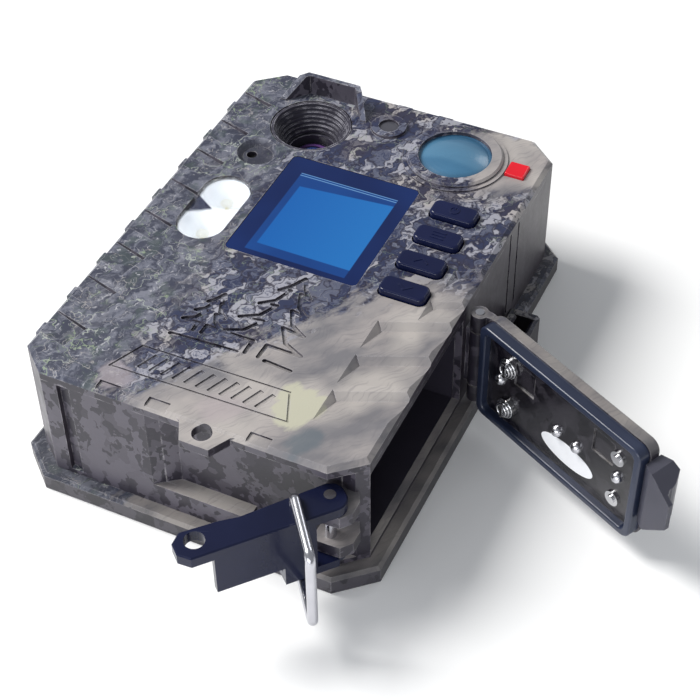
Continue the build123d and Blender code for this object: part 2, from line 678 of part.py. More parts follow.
def lamp_window():
    """The clear cover over the lamps."""
    return slot(LAMP_AT, LAMP_R + 0.4, LAMP_PITCH, BODY_D - 1.2, BODY_D - 0.3)


def light_sensor_window():
    """The small round window of the day and night sensor."""
    return disc(SENSOR_AT, SENSOR_BORE - 0.05, INNER_Z, BODY_D + 0.2)


def status_window():
    """The red window of the status light."""
    x, y = STATUS_AT
    half = STATUS_W / 2 - 0.1
    block = box(x - half, x + half, y - half, y + half, BODY_D - 1.3, BODY_D + 1.1)
    return fillet(block.edges().filter_by(Axis.Z) + block.edges().group_by(Axis.Z)[-1], 0.5)


def microphone():
    """The microphone capsule behind its hole."""
    return disc((MIC_AT[0] + MIC_HOLE_X, MIC_AT[1]), 2.4, INNER_Z - 1.9, INNER_Z - 0.1)


# ---- electronics -------------------------------------------------------------------------------------

BOARD_TOP_Z = INNER_Z - 8.8
BOARD_T = 1.6


def main_board():
    """The circuit board, in the half of the housing beside the battery bay, with its larger parts."""
    low = BOARD_TOP_Z - BOARD_T
    board = box(-37.4, 37.4, BAY_TOP_Y + 2.6, 60, low, BOARD_TOP_Z)
    board = board - disc(LENS_AT, 13.5, low - 1, BOARD_TOP_Z + 1)
    board = board - box(LAMP_AT[0] - 8, LAMP_AT[0] + 8, -20, LAMP_YS[0] + 8, low - 1, BOARD_TOP_Z + 1)
    chips = [box(-8, 4, 14, 26, low - 1.4, low + 0.2), box(12, 20, 32, 40, low - 1.2, low + 0.2)]
    chips += [disc((-2, 44), 4.0, low - 7.5, low + 0.2), disc((8, 44), 4.0, low - 7.5, low + 0.2)]
    chips.append(box(26, 36, 30, 36, low - 2.0, low + 0.2))
    return joined([board] + chips)


def key_switches():
    """Four small switches, one under each button."""
    top = KEY_MAT_LOW_Z - 0.2
    switches = []
    for key_y in KEY_YS:
        y = key_y + SWITCH_UP
        can = box(KEY_X - 3, KEY_X + 3, y - 1.2, y + 1.2, BOARD_TOP_Z, top - 0.7)
        switches.append(can + disc((KEY_X, y), 0.9, BOARD_TOP_Z, top))
    return group(switches)


def key_mat():
    """The rubber sheet that seals under the buttons and pushes them back."""
    low_y, high_y = KEY_YS[-1] - 5.2, KEY_YS[0] + 5.0
    z = KEY_MAT_LOW_Z
    return box(KEY_X - 8.4, KEY_X + 8.4, low_y, high_y, z, z + KEY_MAT_T)


def key_symbol(kind):
    """Raised lines on a button: a ring and stroke, three bars, or an arrow."""
    z0, z1 = BODY_D + KEY_OUT - 0.3, BODY_D + KEY_OUT + 0.18
    if kind == "ring":
        return [ring((0, 0), 1.5, 1.1, z0, z1), stroke((0, 0.5), (0, 1.8), 0.4, z0, z1)]
    if kind == "bars":
        return [stroke((-1.7, 1.2 * i), (1.7, 1.2 * i), 0.45, z0, z1) for i in (-1, 0, 1)]
    way = 1 if kind == "up" else -1
    return [stroke((0, way * 0.9), (side * 1.8, -way * 0.7), 0.45, z0, z1) for side in (1, -1)]


def key_button(y, kind):
    """One button: a rounded cap with a collar that keeps it in its hole."""
    low = KEY_FLANGE_Z
    cap = rounded((0, 0), KEY_W, KEY_H, KEY_R, low, BODY_D + KEY_OUT)
    cap = fillet(cap.edges().group_by(Axis.Z)[-1], 0.8)
    cap = joined([cap] + key_symbol(kind))
    collar = rounded((0, 0), KEY_W + 2.0, KEY_H + 2.0, KEY_R + 1.0, low, low + KEY_FLANGE_T)
    return Pos(KEY_X, y, 0) * (cap + collar)


def card_socket():
    """The memory card socket on the board's rear."""
    low = BOARD_TOP_Z - BOARD_T - 3.0
    shell = box(-34, -8, 25.5, 40, low, low + 2.9)
    return shell - box(-35, -10, 27.5, 38.0, low + 0.4, low + 2.5)


def power_jack():
    """The external power socket behind the left wall."""
    y, z = JACK_AT
    jack = box(-HALF_W + WALL + 0.2, -HALF_W + WALL + 11, y - 4.5, y + 4.5, z - 4.5, z + 4.5)
    return jack - rod_x(JACK_AT[0], JACK_AT[1], 3.0, -HALF_W, -HALF_W + WALL + 9.5)


def jack_plug():
    """The rubber plug over the external power socket."""
    y, z = JACK_AT
    return rod_x(y, z, JACK_R - 0.05, -HALF_W, -HALF_W + WALL) + rod_x(y, z, JACK_R + 1.6, -HALF_W - 0.9, -HALF_W)


# ---- battery bay -------------------------------------------------------------------------------------


def battery_box():
    """The open-ended tray that holds eight cells, in two layers of four."""
    t = BOX_WALL
    outer = box(BAY_DEEP_X - t, HALF_W - WALL - 0.1, BAY_LOW_Y - t, BAY_TOP_Y + t, BAY_FLOOR_Z - t + 0.1, BAY_TOP_Z + t)
    hollow = box(BAY_DEEP_X, HALF_W, BAY_LOW_Y, BAY_TOP_Y, BAY_FLOOR_Z, BAY_TOP_Z)
    tray = outer - hollow
    mid_z = (ROW_ZS[0] + ROW_ZS[1]) / 2
    rail_y = [(CELL_YS[i] + CELL_YS[i + 1]) / 2 for i in range(CELLS_ACROSS - 1)]
    rails = [box(BAY_DEEP_X, HALF_W - WALL - 4, y - 0.5, y + 0.5, mid_z - 0.4, mid_z + 0.4) for y in rail_y]
    shelf = box(BAY_DEEP_X - 0.1, BAY_DEEP_X + 1.0, BAY_LOW_Y - 0.1, BAY_TOP_Y + 0.1, mid_z - 0.5, mid_z + 0.5)
    return joined([tray, shelf] + rails) & prism(cut_corners(WALL + 0.1), 0, INNER_Z)


def cell_contacts():
    """Contact plates at the blind end of the bay, one for each pair of cells."""
    plates = []
    for z in ROW_ZS:
        for i in range(0, CELLS_ACROSS, 2):
            high, low = CELL_YS[i] + 5, CELL_YS[i + 1] - 5
            plates.append(box(BAY_DEEP_X, BAY_DEEP_X + 0.5, low, high, z - 4.5, z + 4.5))
    return group(plates)


# ---- battery door, drawn shut ------------------------------------------------------------------------

DOOR_MID_Y = (DOOR_NEAR_Y + DOOR_FAR_Y) / 2
DOOR_MID_Z = (DOOR_LOW_Z + DOOR_TOP_Z) / 2
DOOR_LEN = DOOR_NEAR_Y - DOOR_FAR_Y
DOOR_TALL = DOOR_TOP_Z - DOOR_LOW_Z
SCREW_CELL_GAPS = [
    (CELL_YS[0], DOOR_MID_Z),
    (CELL_YS[1] - CELL_D / 2, DOOR_MID_Z - 1.5),
    (CELL_YS[2], DOOR_MID_Z - 1.5),
    (CELL_YS[3], DOOR_MID_Z),
]


def door_slab(inset, r, x0, x1):
    """A rounded plate in the plane of the shut door, smaller than the door by inset all round."""
    face = RectangleRounded(DOOR_LEN - 2 * inset, DOOR_TALL - 2 * inset, r)
    plane = Plane(origin=(x0, DOOR_MID_Y, DOOR_MID_Z), x_dir=(0, -1, 0), z_dir=(1, 0, 0))
    return extrude(plane * face, amount=x1 - x0)


def stored(piece):
    """Turns a piece of the shut door to the stored, open position."""
    return about(HINGE_AT, DOOR_OPEN) * piece


def door_shell():
    """The door's outer cover, with a knuckle at each end of the hinge."""
    cover = door_slab(0, DOOR_R, DOOR_SKIN_X, DOOR_OUT_X)
    cover = fillet(cover.edges().group_by(Axis.X)[-1], 1.2)
    cover = cover - door_slab(3.4, DOOR_R - 2, DOOR_SKIN_X - 1, DOOR_SKIN_X + 1.4)
    x, y = HINGE_AT
    for z in (DOOR_LOW_Z + 1.0, DOOR_TOP_Z - 0.8 - KNUCKLE_LEN):
        leaf = prism([(x, y + KNUCKLE_R), (x + 1.6, y + 1.7), (DOOR_OUT_X - 1.4, DOOR_NEAR_Y + 0.2),
                      (DOOR_OUT_X - 1.4, DOOR_NEAR_Y - 5), (DOOR_SKIN_X + 1.5, DOOR_NEAR_Y - 5),
                      (DOOR_SKIN_X + 0.1, DOOR_NEAR_Y - 0.4), (x - 0.5, y - 1.0)], z, z + KNUCKLE_LEN)
        cover = cover + disc(HINGE_AT, KNUCKLE_R, z, z + KNUCKLE_LEN) + leaf
    for at_y, at_z in SCREW_CELL_GAPS:
        cover = cover + rod_x(at_y, at_z, 2.0, DOOR_SKIN_X, DOOR_SKIN_X + 2.0)
    for at_y, at_z in SCREW_CELL_GAPS:
        cover = cover - rod_x(at_y, at_z, 0.9, DOOR_SKIN_X - 1, DOOR_SKIN_X + 2.6)
    return cover - disc(HINGE_AT, HINGE_PIN_R + PIN_GAP, 0, BODY_D + 5)


def door_gasket():
    """The rubber rim that closes on the housing wall."""
    rim = door_slab(0.5, DOOR_R - 0.5, GASKET_X, DOOR_SKIN_X) - door_slab(GASKET_W + 0.5, DOOR_R - 1.6, 0, DOOR_OUT_X)
    return fillet(rim.edges().group_by(Axis.X)[0], 0.6)


def door_panel():
    """The inner panel that carries the contacts."""
    panel = door_slab(GASKET_W + 0.6, DOOR_R - 1.7, PANEL_X, DOOR_SKIN_X)
    for at_y, at_z in SCREW_CELL_GAPS:
        panel = panel - rod_x(at_y, at_z, 1.1, 0, DOOR_OUT_X)
    for first in (0, 2):
        y = (CELL_YS[first] + CELL_YS[first + 1]) / 2 - 1.5
        panel = panel - box(PANEL_X - 1, PANEL_X + 0.4, y - 3.6, y + 3.6, ROW_ZS[1] - 4.4, ROW_ZS[1] + 3.4)
    return panel


def door_screws():
    """Four dome-head screws that hold the panel to the cover."""
    screws = []
    for y, z in SCREW_CELL_GAPS:
        dome = Pos(PANEL_X, y, z) * Sphere(1.7) & box(PANEL_X - 3, PANEL_X, y - 3, y + 3, z - 3, z + 3)
        screws.append(dome + rod_x(y, z, 0.9, PANEL_X - 0.2, DOOR_SKIN_X + 1.8))
    return group(screws)


def contact_spring(y, z):
    """One conical battery spring on its rivet."""
    base = PANEL_X - 0.02
    turns = 3
    coils = [rod_x(y, z, 0.9, base - 1.9, base), rod_x(y, z, 2.9, base - 0.5, base)]
    for i in range(turns):
        r = 2.7 - 0.5 * i
        at = Pos(base - 0.75 - 0.62 * i, y, z) * Rot(0, 90, 0)
        coils.append(at * Torus(r, 0.33))
    arms = box(base - 2.2, base, y - 0.3, y + 0.3, z - 2.6, z + 2.6)
    return joined(coils + [arms])


def door_springs():
    """Springs against the two cells nearest the hinge."""
    return group([contact_spring(CELL_YS[0] - 3.0, z) for z in ROW_ZS])


def door_contacts():
    """Domed contact buttons against the two cells furthest from the hinge."""
    pads = []
    for z in ROW_ZS:
        y = CELL_YS[3] + 0.5
        pad = rod_x(y, z, 2.2, PANEL_X - 0.6, PANEL_X) + rod_x(y, z, 1.2, PANEL_X - 1.1, PANEL_X)
        pads.append(pad)
    return group(pads)


def inspection_label():
    """A blank oval label on the panel."""
    y = (CELL_YS[1] + CELL_YS[3]) / 2 + 3.0
    plane = Plane(origin=(PANEL_X - 0.12, y, ROW_ZS[0] + 1.2), x_dir=(0, -1, 0), z_dir=(1, 0, 0))
    return extrude(plane * Ellipse(9.5, 3.6), amount=0.12)


def door_tongue():
    """The catch at the door's free end: a flared tongue with a hook for the bail's bar."""
    hook = BAR_AT
    nose = hook[0] - WIRE_R - 0.3
    end = DOOR_FAR_Y
    plan = [(DOOR_SKIN_X - 1.6, end), (nose - 1.4, end - 2.4), (nose - 1.4, hook[1] - 1.0), (nose, hook[1] - 1.0)]
    plan += [(nose, hook[1] + 1.0), (hook[0] + 2.0, hook[1] + 1.9), (DOOR_OUT_X + 1.5, end - 5.2), (DOOR_OUT_X, end)]
    tongue = prism(plan, TONGUE_LOW_Z, TONGUE_TOP_Z) - disc(hook, WIRE_R + 0.3, 0, BODY_D)
    far = hook[1] - 2.0
    for z, way in ((TONGUE_TOP_Z, 1), (TONGUE_LOW_Z, -1)):
        wedge = Plane.YZ * make_face(Polyline((far, z), (far, z - way * (TONGUE_CUT + 2.5)),
                                              (end - 2.5, z + way * 0.6), (far, z + way * 0.6), close=True))
        tongue = tongue - extrude(Pos(40, 0, 0) * wedge, amount=30)
    return tongue


# ---- latch, drawn shut -------------------------------------------------------------------------------


def opened_lever(piece):
    """Turns a piece of the shut lever to the stored, open position."""
    return about(LEVER_AT, LEVER_OPEN) * piece


def latch_lever():
    """The lever: a long upper arm with the padlock hole, a web, and a short lower arm."""
    x, y = LEVER_AT
    tip = x - LEVER_LEN
    cut = 2.6
    plan = [(x, y + LEVER_IN), (x - 22, y + LEVER_IN - 1.2), (x - 27, y + LEVER_IN - 0.4), (tip - 2.6, y + LEVER_IN)]
    plan += [(tip - 2.6 - cut, y + LEVER_IN - cut), (tip - 2.6 - cut, y - LEVER_OUT + cut), (tip - 2.6, y - LEVER_OUT)]
    plan += [(x, y - LEVER_OUT)]
    arm = prism(plan, LEVER_TOP_Z - ARM_T, LEVER_TOP_Z) + disc(LEVER_AT, LEVER_IN, LEVER_TOP_Z - ARM_T, LEVER_TOP_Z)
    arm = arm + disc((x, y - LEVER_OUT + LEVER_IN), LEVER_IN, LEVER_TOP_Z - ARM_T, LEVER_TOP_Z)
    top_edges = arm.edges().group_by(Axis.Z)[-1]
    arm = chamfer(top_edges, 0.35)
    low = box(x - LOW_ARM_LEN, x, y - LEVER_OUT, y + LEVER_IN, LEVER_LOW_Z, LEVER_LOW_Z + LOW_ARM_T)
    low = low + disc(LEVER_AT, LEVER_IN, LEVER_LOW_Z, LEVER_LOW_Z + LOW_ARM_T)
    out = y - LEVER_OUT
    web = box(x - WEB_TO, x - WEB_FROM, out, out + WEB_T, WEB_LOW_Z, LEVER_TOP_Z - ARM_T + 0.1)
    web = web + box(x - LOW_ARM_LEN, x - WEB_FROM, out, out + WEB_T, LEVER_LOW_Z + 0.1, WEB_LOW_Z + 0.1)
    lever = arm + low + web
    lever = lever - disc(LEVER_AT, RIVET_R + PIN_GAP, 0, BODY_D)
    lever = lever - disc(BAIL_AT, WIRE_R + PIN_GAP, 0, BODY_D)
    return lever - disc((tip, y), PADLOCK_R, 0, BODY_D)


def latch_rivet():
    """The pin that the lever turns on."""
    high = LEVER_TOP_Z + 0.1
    return disc(LEVER_AT, RIVET_R, LEVER_LOW_Z - 0.1, high)


def latch_bail():
    """The wire loop: two ends in the lever's arms, two legs and the bar that hooks the tongue."""
    radii = [WIRE_R + 0.1, BEND_R, BEND_R, WIRE_R + 0.1]
    points = [(0, 0, LEVER_TOP_Z - ARM_T + 0.2), (0, 0, BAIL_TOP_Z), (BAIL_LEN, 0, BAIL_TOP_Z)]
    points += [(BAIL_LEN, 0, BAIL_LOW_Z), (0, 0, BAIL_LOW_Z), (0, 0, LEVER_LOW_Z + LOW_ARM_T - 0.2)]
    path = FilletPolyline(*points, radius=radii)
    section = Plane(origin=points[0], z_dir=(0, 0, 1)) * Circle(WIRE_R)
    wire = sweep(section, path=path)
    return Pos(BAIL_AT[0], BAIL_AT[1], 0) * Rot(0, 0, BAIL_SHUT) * wire


def stored_bail():
    """The bail in the stored lever's holes, pointing its own way."""
    at = turned(BAIL_AT, LEVER_AT, LEVER_OPEN)
    moved = Pos(at[0] - BAIL_AT[0], at[1] - BAIL_AT[1], 0) * latch_bail()
    return about(at, BAIL_REST - BAIL_SHUT) * moved


def hinge_pin():
    """The door's hinge pin."""
    return disc(HINGE_AT, HINGE_PIN_R, DOOR_LOW_Z + 1.1, DOOR_TOP_Z - 0.6)


# ---- the parts ---------------------------------------------------------------------------------------

front_half_whole = front_half()
PARTS["front_face"] = front_face()
PARTS["case_walls"] = case_walls()
PARTS["latch_frame"] = latch_frame()
PARTS["screw_posts"] = screw_posts()
PARTS["lens_visor"] = lens_visor()
PARTS["rear_shell"] = rear_shell()
PARTS["case_gasket"] = case_gasket()
PARTS["case_screws"] = case_screws()
PARTS["tripod_insert"] = tripod_insert()
PARTS["lens_hood"] = lens_hood()
PARTS["lens_barrel"] = lens_barrel()
PARTS["lens_glass"] = lens_glass()
PARTS["sensor_board"] = sensor_board()
PARTS["pir_bezel"] = pir_bezel()
PARTS["pir_lens"] = pir_lens()
PARTS["pir_sensor"] = pir_sensor()
PARTS["screen_window"] = screen_window()
PARTS["display_module"] = display_module()
PARTS["lamp_reflector"] = lamp_reflector()
PARTS["lamp_chips"] = lamp_chips()
PARTS["lamp_window"] = lamp_window()
PARTS["light_sensor_window"] = light_sensor_window()
PARTS["status_window"] = status_window()
PARTS["microphone"] = microphone()
PARTS["main_board"] = main_board()
PARTS["key_switches"] = key_switches()
PARTS["key_mat"] = key_mat()
PARTS["card_socket"] = card_socket()
PARTS["power_jack"] = power_jack()
PARTS["jack_plug"] = jack_plug()
PARTS["battery_box"] = battery_box()
PARTS["cell_contacts"] = cell_contacts()
PARTS["hinge_pin"] = hinge_pin()
PARTS["latch_rivet"] = latch_rivet()
for key_name, key_y, key_kind in zip(
    ("power_button", "menu_button", "up_button", "down_button"), KEY_YS, ("ring", "bars", "up", "down")
):
    PARTS[key_name] = key_button(key_y, key_kind)
PARTS["door_shell"] = stored(door_shell())
PARTS["door_gasket"] = stored(door_gasket())
PARTS["door_panel"] = stored(door_panel())
PARTS["door_screws"] = stored(door_screws())
PARTS["door_springs"] = stored(door_springs())
PARTS["door_contacts"] = stored(door_contacts())
PARTS["inspection_label"] = stored(inspection_label())
PARTS["door_tongue"] = stored(door_tongue())
PARTS["latch_lever"] = opened_lever(latch_lever())
PARTS["latch_bail"] = stored_bail()

os.makedirs("parts", exist_ok=True)
for part_name, shape in PARTS.items():
    export_step(shape, f"parts/{part_name}.step")

bail_rest_at = turned(BAIL_AT, LEVER_AT, LEVER_OPEN)
print("bail pivot at rest", [round(v, 3) for v in bail_rest_at])
print("bail length", round(BAIL_LEN, 3), "to shut", round(BAIL_SHUT - BAIL_REST + LEVER_OPEN, 3), "degrees")
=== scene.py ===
from math import radians

import bmesh
import bpy
from mathutils import Matrix, Vector


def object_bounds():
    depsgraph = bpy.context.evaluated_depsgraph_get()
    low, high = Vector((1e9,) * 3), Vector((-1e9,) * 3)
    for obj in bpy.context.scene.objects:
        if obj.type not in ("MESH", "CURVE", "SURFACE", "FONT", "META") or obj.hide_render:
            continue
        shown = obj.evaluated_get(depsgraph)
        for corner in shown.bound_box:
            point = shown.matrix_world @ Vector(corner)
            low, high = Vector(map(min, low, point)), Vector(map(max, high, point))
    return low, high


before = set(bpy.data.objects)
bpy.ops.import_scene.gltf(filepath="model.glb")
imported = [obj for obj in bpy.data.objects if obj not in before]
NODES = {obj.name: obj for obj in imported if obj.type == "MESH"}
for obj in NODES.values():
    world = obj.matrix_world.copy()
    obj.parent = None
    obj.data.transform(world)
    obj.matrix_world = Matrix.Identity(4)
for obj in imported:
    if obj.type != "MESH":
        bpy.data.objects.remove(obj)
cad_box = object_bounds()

MM = 0.001
MOULDED_IOR = 1.46
CLEAR_IOR = 1.49

# places on the front face, in millimetres, which the printed and moulded looks line up with
LENS_GLASS = (-21.8, 48.7, 31.0)
MOTION_LENS = (22.3, 51.6, 42.0)
MIC_DISH = (-31.0, 31.4, 41.0)
BARE_CORNER = (37.0, 55.0, 42.0)
LAMPS_MIDDLE_Y = 4.7

# ---- node building -----------------------------------------------------------------------------------


class Tree:
    """Short calls for adding nodes to one node tree and wiring them."""

    def __init__(self, tree):
        self.tree = tree

    def node(self, kind, **settings):
        made = self.tree.nodes.new(kind)
        for name, value in settings.items():
            setattr(made, name, value)
        return made

    def feed(self, socket, value):
        """Links a socket to another, or sets it to a plain value."""
        if isinstance(value, bpy.types.NodeSocket):
            self.tree.links.new(value, socket)
        elif value is not None:
            socket.default_value = value

    def math(self, operation, a, b=None, c=None, clamp=False):
        made = self.node("ShaderNodeMath", operation=operation, use_clamp=clamp)
        for socket, value in zip(made.inputs, (a, b, c)):
            self.feed(socket, value)
        return made.outputs[0]

    def vector(self, operation, a, b=None, scale=None):
        made = self.node("ShaderNodeVectorMath", operation=operation)
        self.feed(made.inputs[0], a)
        self.feed(made.inputs[1], b)
        if scale is not None:
            self.feed(made.inputs["Scale"], scale)
        return made.outputs["Value" if operation in ("LENGTH", "DOT_PRODUCT", "DISTANCE") else "Vector"]

    def noise(self, at, scale, detail=2.0, rough=0.5, out="Fac", warp=0.0):
        made = self.node("ShaderNodeTexNoise")
        self.feed(made.inputs["Vector"], at)
        made.inputs["Scale"].default_value = scale
        made.inputs["Detail"].default_value = detail
        made.inputs["Roughness"].default_value = rough
        made.inputs["Distortion"].default_value = warp
        return made.outputs[out]

    def cells(self, at, scale, feature="F1", out="Distance", chaos=1.0):
        made = self.node("ShaderNodeTexVoronoi", feature=feature)
        self.feed(made.inputs["Vector"], at)
        made.inputs["Scale"].default_value = scale
        made.inputs["Randomness"].default_value = chaos
        return made.outputs[out]

    def mix(self, amount, a, b, way="MIX"):
        made = self.node("ShaderNodeMix", data_type="RGBA", blend_type=way)
        self.feed(made.inputs["Factor"], amount)
        self.feed(made.inputs[6], a)
        self.feed(made.inputs[7], b)
        return made.outputs[2]

    def span(self, value, low, high, to_low=0.0, to_high=1.0, smooth=False):
        made = self.node("ShaderNodeMapRange", interpolation_type="SMOOTHSTEP" if smooth else "LINEAR")
        made.clamp = True
        for socket, setting in zip(made.inputs, (value, low, high, to_low, to_high)):
            self.feed(socket, setting)
        return made.outputs[0]

    def along(self, at, turn, length, width, shift=0.0):
        """Space stretched so that unit noise is length long in the direction turn, and width across it."""
        made = self.node("ShaderNodeMapping", vector_type="TEXTURE")
        self.feed(made.inputs["Vector"], at)
        made.inputs["Rotation"].default_value = (0, 0, radians(turn))
        made.inputs["Scale"].default_value = (length, width, 0.5 * (length + width))
        made.inputs["Location"].default_value = (shift, shift, shift)
        return made.outputs[0]

    def parts(self, at):
        made = self.node("ShaderNodeSeparateXYZ")
        self.feed(made.inputs[0], at)
        return made.outputs

    def bump(self, height, strength, depth_mm, normal=None):
        made = self.node("ShaderNodeBump")
        self.feed(made.inputs["Height"], height)
        made.inputs["Strength"].default_value = strength
        made.inputs["Distance"].default_value = depth_mm * MM
        self.feed(made.inputs["Normal"], normal)
        return made.outputs[0]

    def place(self, group, **values):
        made = self.node("ShaderNodeGroup", node_tree=group)
        for name, value in values.items():
            self.feed(made.inputs[name.replace("_", " ")], value)
        return made.outputs


def new_group(name, inputs, outputs):
    """A shader node group. Inputs are (name, type, default), and outputs are (name, type)."""
    tree = bpy.data.node_groups.new(name, "ShaderNodeTree")
    for label, kind, default in inputs:
        socket = tree.interface.new_socket(label, in_out="INPUT", socket_type="NodeSocket" + kind)
        socket.default_value = default
    for label, kind in outputs:
        tree.interface.new_socket(label, in_out="OUTPUT", socket_type="NodeSocket" + kind)
    t = Tree(tree)
    entry = t.node("NodeGroupInput").outputs
    leave = t.node("NodeGroupOutput").inputs
    return tree, t, entry, leave


def rgb(r, g, b):
    return (r, g, b, 1.0)


# ---- shared effects ----------------------------------------------------------------------------------


def make_grain():
    """Fine moulded grain with slow variation in gloss."""
    tree, t, given, out = new_group(
        "moulded grain",
        [("Scale", "Float", 900.0), ("Gloss", "Float", 0.4), ("Spread", "Float", 0.1)],
        [("Height", "Float"), ("Roughness", "Float"), ("Patch", "Float")],
    )
    at = t.node("ShaderNodeTexCoord").outputs["Object"]
    fine = t.node("ShaderNodeTexNoise")
    t.feed(fine.inputs["Vector"], at)
    t.feed(fine.inputs["Scale"], given["Scale"])
    fine.inputs["Detail"].default_value = 3.0
    slow = t.noise(at, 38.0, 4.0, 0.6)
    swing = t.math("SUBTRACT", slow, 0.5)
    t.feed(out["Height"], fine.outputs["Fac"])
    t.feed(out["Roughness"], t.math("MULTIPLY_ADD", swing, given["Spread"], given["Gloss"], clamp=True))
    t.feed(out["Patch"], slow)
    return tree


def make_wear_and_highlight():
    """Where edges turn pale, from rubbing and as a painted highlight on lit edges: a mask from how far a
    rounded edge would turn the surface, broken up by noise.
    """
    tree, t, given, out = new_group("edge wear", [("Amount", "Float", 0.5)], [("Mask", "Float")])
    rounded = t.node("ShaderNodeBevel", samples=4)
    rounded.inputs["Radius"].default_value = 0.45 * MM
    straight = t.node("ShaderNodeNewGeometry").outputs["Normal"]
    agree = t.vector("DOT_PRODUCT", rounded.outputs["Normal"], straight)
    edge = t.span(agree, 0.985, 0.86)
    at = t.node("ShaderNodeTexCoord").outputs["Object"]
    broken = t.span(t.noise(at, 320.0, 5.0, 0.65), 0.42, 0.62)
    t.feed(out["Mask"], t.math("MULTIPLY", t.math("MULTIPLY", edge, broken), given["Amount"], clamp=True))
    return tree


def make_scuffs():
    """Fine hair scratches, as a mask."""
    tree, t, given, out = new_group("hair scratches", [("Amount", "Float", 0.3)], [("Mask", "Float")])
    at = t.node("ShaderNodeTexCoord").outputs["Object"]
    lines = []
    for turn, seed in ((24.0, 0.0), (-51.0, 3.1)):
        thin = t.along(at, turn, 0.024, 0.0007, seed)
        lines.append(t.span(t.noise(thin, 1.0, 2.0, 0.5), 0.70, 0.76))
    both = t.math("MAXIMUM", lines[0], lines[1])
    gaps = t.span(t.noise(at, 60.0, 3.0), 0.45, 0.65)
    t.feed(out["Mask"], t.math("MULTIPLY", t.math("MULTIPLY", both, gaps), given["Amount"]))
    return tree


def make_bark_print():
    """The printed camouflage: bark flakes, bare smooth wood, twigs, lichen and fallen leaves, with painted
    shade on the walls and round the microphone.
    """
    tree, t, given, out = new_group(
        "bark print",
        [("Shade", "Float", 1.0), ("Smooth", "Float", 0.0)],
        [("Colour", "Color"), ("Height", "Float")],
    )
    at = t.vector("SCALE", t.node("ShaderNodeTexCoord").outputs["Object"], scale=1000.0)
    facing = t.parts(t.node("ShaderNodeTexCoord").outputs["Normal"])
    # this mask picks the side walls, which get the painted shade further down
    walls_in_shade = t.span(t.math("ABSOLUTE", facing[2]), 0.62, 0.40)
    below = t.span(facing[1], -0.35, -0.6)
    middle = (0.5, 0.5, 0.5)
    sway = t.vector("SUBTRACT", t.noise(at, 0.10, 2.0, 0.5, "Color"), middle)
    bent = t.vector("ADD", at, t.vector("SCALE", sway, scale=9.0))
    curl = t.vector("SUBTRACT", t.noise(at, 0.36, 2.0, 0.5, "Color"), middle)
    curled = t.vector("ADD", bent, t.vector("SCALE", curl, scale=6.5))
    torn = t.math("SUBTRACT", t.noise(t.along(at, 62.0, 7.0, 2.6), 1.0, 4.0, 0.62), 0.5)
    ragged = t.math("MULTIPLY", torn, 26.0)
    x, y = t.parts(bent)[0:2]

    # bark flakes, long along the camera, in three tones with dark gaps between them
    cells = t.along(curled, 68.0, 6.4, 2.5)
    gaps = t.cells(cells, 1.0, "DISTANCE_TO_EDGE")
    pick = t.parts(t.cells(cells, 1.0, "F1", "Color"))[0]
    splinter = t.noise(t.along(curled, 68.0, 3.6, 0.75, 3.0), 1.0, 5.0, 0.68)
    tone = t.math("ADD", t.math("MULTIPLY", pick, 0.55), t.math("MULTIPLY", splinter, 0.75))
    mid_tone = t.span(tone, 0.54, 0.61)
    high_tone = t.span(tone, 0.74, 0.82)
    bark = t.mix(mid_tone, rgb(0.016, 0.022, 0.062), rgb(0.078, 0.086, 0.132))
    bark = t.mix(high_tone, bark, rgb(0.285, 0.285, 0.330))
    tan = t.span(t.noise(at, 0.07, 3.0), 0.52, 0.64)
    warm = t.mix(mid_tone, rgb(0.026, 0.019, 0.032), rgb(0.110, 0.092, 0.092))
    warm = t.mix(high_tone, warm, rgb(0.36, 0.32, 0.28))
    bark = t.mix(t.math("MULTIPLY", tan, 0.55), bark, warm)
    crack = t.span(gaps, 0.015, 0.11)
    bark = t.mix(t.math("MULTIPLY", t.math("SUBTRACT", 1.0, crack), 0.85), bark, rgb(0.010, 0.008, 0.024))

    # towards the left: blue-grey shade with soft flakes, thin pale twigs and a little moss
    far_left = t.span(t.math("ADD", x, ragged), -17.0, -25.0)
    soft = t.span(t.noise(t.along(curled, 68.0, 7.0, 3.0, 7.0), 1.0, 4.0, 0.6), 0.46, 0.60)
    shade = t.mix(soft, rgb(0.034, 0.038, 0.062), rgb(0.140, 0.146, 0.184))
    moss = t.span(t.noise(at, 0.21, 3.0), 0.54, 0.64)
    shade = t.mix(t.math("MULTIPLY", moss, 0.5), shade, rgb(0.055, 0.078, 0.070))
    shade = t.mix(t.span(splinter, 0.58, 0.66), shade, rgb(0.370, 0.370, 0.400))
    coat = t.mix(t.math("MULTIPLY", far_left, 0.9), bark, shade)
    for scale, shift, colour, thin, strength in (
        (0.060, 3.0, rgb(0.33, 0.36, 0.32), 0.012, 0.85),
        (0.085, 17.0, rgb(0.24, 0.30, 0.20), 0.013, 0.75),
        (0.120, 31.0, rgb(0.36, 0.34, 0.33), 0.016, 0.6),
    ):
        web = t.cells(t.along(curled, shift, 1.0, 1.0, shift), scale, "DISTANCE_TO_EDGE")
        line = t.span(web, thin, thin * 0.35)
        here = t.span(t.noise(at, 0.13 + 0.001 * shift, 2.0), 0.50, 0.56)
        some = t.math("MULTIPLY", here, t.span(far_left, 0.0, 1.0, 0.45, 1.0))
        coat = t.mix(t.math("MULTIPLY", t.math("MULTIPLY", line, some), strength), coat, colour)

    # smooth bare wood: soft mottling in beige and grey
    cloud = t.noise(t.along(at, 55.0, 22.0, 11.0), 1.0, 4.0, 0.55)
    wood = t.mix(t.span(cloud, 0.36, 0.64), rgb(0.155, 0.150, 0.162), rgb(0.335, 0.305, 0.295))
    wood = t.mix(t.span(t.noise(at, 0.045, 2.0), 0.50, 0.66), wood, rgb(0.395, 0.365, 0.345))
    hair = t.span(t.noise(t.along(bent, 60.0, 9.0, 0.6), 1.0, 4.0, 0.6), 0.52, 0.66)
    wood = t.mix(t.math("MULTIPLY", hair, 0.30), wood, rgb(0.100, 0.096, 0.115))

